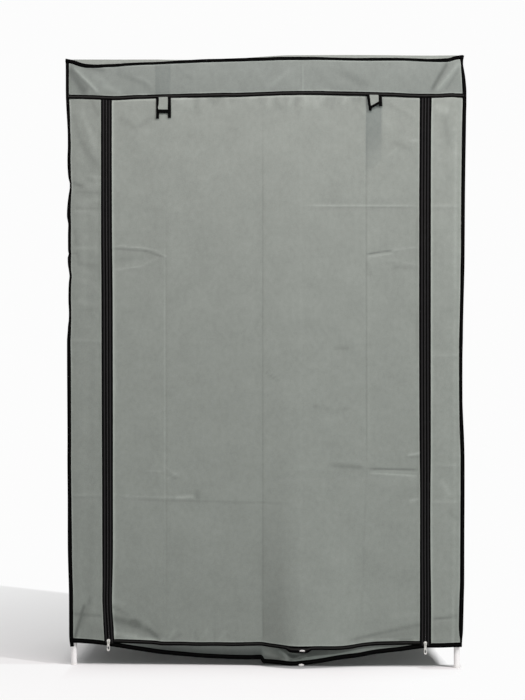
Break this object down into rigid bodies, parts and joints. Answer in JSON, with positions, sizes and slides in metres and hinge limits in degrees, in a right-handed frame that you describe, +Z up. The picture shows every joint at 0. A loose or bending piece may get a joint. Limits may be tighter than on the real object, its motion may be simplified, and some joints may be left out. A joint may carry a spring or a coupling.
{
  "type": "portable fabric wardrobe",
  "caption": "Free-standing clothes wardrobe: a steel tube frame with a hanging rail and a cloth shelf, dressed in a sewn cloth cover with a roll-up front door between two long zips.",
  "frame": {"origin": "middle of the footprint on the floor, under the feet", "axes": "+X to the right along the front, the front faces -Y, +Z up along the posts"},
  "size_m": [1.058, 0.4904, 1.6116],
  "materials": {
    "steel": "satin white powder coat",
    "moulding": "plain white moulding",
    "cloth": "grey non-woven cloth, finely embossed",
    "shade": "grey non-woven cloth of the ties",
    "binding": "black folded seam tape",
    "zip": "black woven zip tape with a nylon coil",
    "slider": "bright cast zinc",
    "snap": "white press fastener"
  },
  "bodies": {
    "root": {"foot_cap_front_left": "moulding", "lower_post_front_left": "steel", "upper_post_front_left": "steel", "bottom_corner_front_left": "moulding", "top_corner_front_left": "moulding", "foot_cap_front_right": "moulding", "lower_post_front_right": "steel", "upper_post_front_right": "steel", "bottom_corner_front_right": "moulding", "top_corner_front_right": "moulding", "foot_cap_back_left": "moulding", "lower_post_back_left": "steel", "upper_post_back_left": "steel", "bottom_corner_back_left": "moulding", "top_corner_back_left": "moulding", "foot_cap_back_right": "moulding", "lower_post_back_right": "steel", "upper_post_back_right": "steel", "bottom_corner_back_right": "moulding", "top_corner_back_right": "moulding", "bottom_rail_front": "steel", "bottom_rail_back": "steel", "bottom_rail_left": "steel", "bottom_rail_right": "steel", "top_rail_front": "steel", "top_rail_back": "steel", "top_rail_left": "steel", "top_rail_right": "steel", "hanging_rail": "steel", "rail_socket_left": "moulding", "rail_socket_right": "moulding", "shelf_cloth": "cloth", "roof_panel": "cloth", "back_panel": "cloth", "side_panel_left": "cloth", "side_panel_right": "cloth", "stile_left": "cloth", "stile_right": "cloth", "pelmet": "cloth", "sill": "cloth", "door_panel": "cloth", "edge_binding": "binding", "pelmet_binding": "binding", "hem_binding": "binding", "zip_tape_left": "zip", "door_zip_tape_left": "zip", "inner_tie_left": "shade", "zip_tape_right": "zip", "door_zip_tape_right": "zip", "snap_stud": "snap"},
    "door_hem": {"door_hem_binding": "binding", "snap_socket": "snap"},
    "left_zip_slider": {"zip_slider_left": "slider"},
    "left_zip_pull": {"zip_pull_left": "slider"},
    "right_zip_slider": {"zip_slider_right": "slider"},
    "right_zip_pull": {"zip_pull_right": "slider"},
    "outer_tab_left": {"outer_tie_left": "shade"},
    "outer_tab_right": {"outer_tie_right": "shade"},
    "inner_strap_right": {"inner_tie_right": "shade"}
  },
  "joints": [
    {"name": "door_roll", "type": "slide", "parent": "root", "child": "door_hem", "axis": [0, 0, 1], "range_m": [0, 1.36], "deforming": ["door_panel", "door_zip_tape_left", "door_zip_tape_right"]},
    {"name": "left_zip_run", "type": "slide", "parent": "root", "child": "left_zip_slider", "axis": [0, 0, 1], "range_m": [0, 1.42]},
    {"name": "left_pull_swing", "type": "hinge", "parent": "left_zip_slider", "child": "left_zip_pull", "pos_m": [-0.4168, -0.20433, 0.065], "axis": [-1, 0, 0], "range_deg": [0, 140]},
    {"name": "right_zip_run", "type": "slide", "parent": "root", "child": "right_zip_slider", "axis": [0, 0, 1], "range_m": [0, 1.42]},
    {"name": "right_pull_swing", "type": "hinge", "parent": "right_zip_slider", "child": "right_zip_pull", "pos_m": [0.4252, -0.20433, 0.065], "axis": [-1, 0, 0], "range_deg": [0, 140]},
    {"name": "outer_tab_left_flip", "type": "hinge", "parent": "root", "child": "outer_tab_left", "pos_m": [-0.2656, -0.20253, 1.5112], "axis": [-1, 0, 0], "range_deg": [0, 170]},
    {"name": "outer_tab_right_flip", "type": "hinge", "parent": "root", "child": "outer_tab_right", "pos_m": [0.2905, -0.20253, 1.50899], "axis": [-1, 0, 0], "range_deg": [0, 170]},
    {"name": "inner_strap_swing", "type": "hinge", "parent": "root", "child": "inner_strap_right", "pos_m": [0.2905, -0.19693, 1.50899], "axis": [1, 0, 0], "range_deg": [0, 110]}
  ]
}
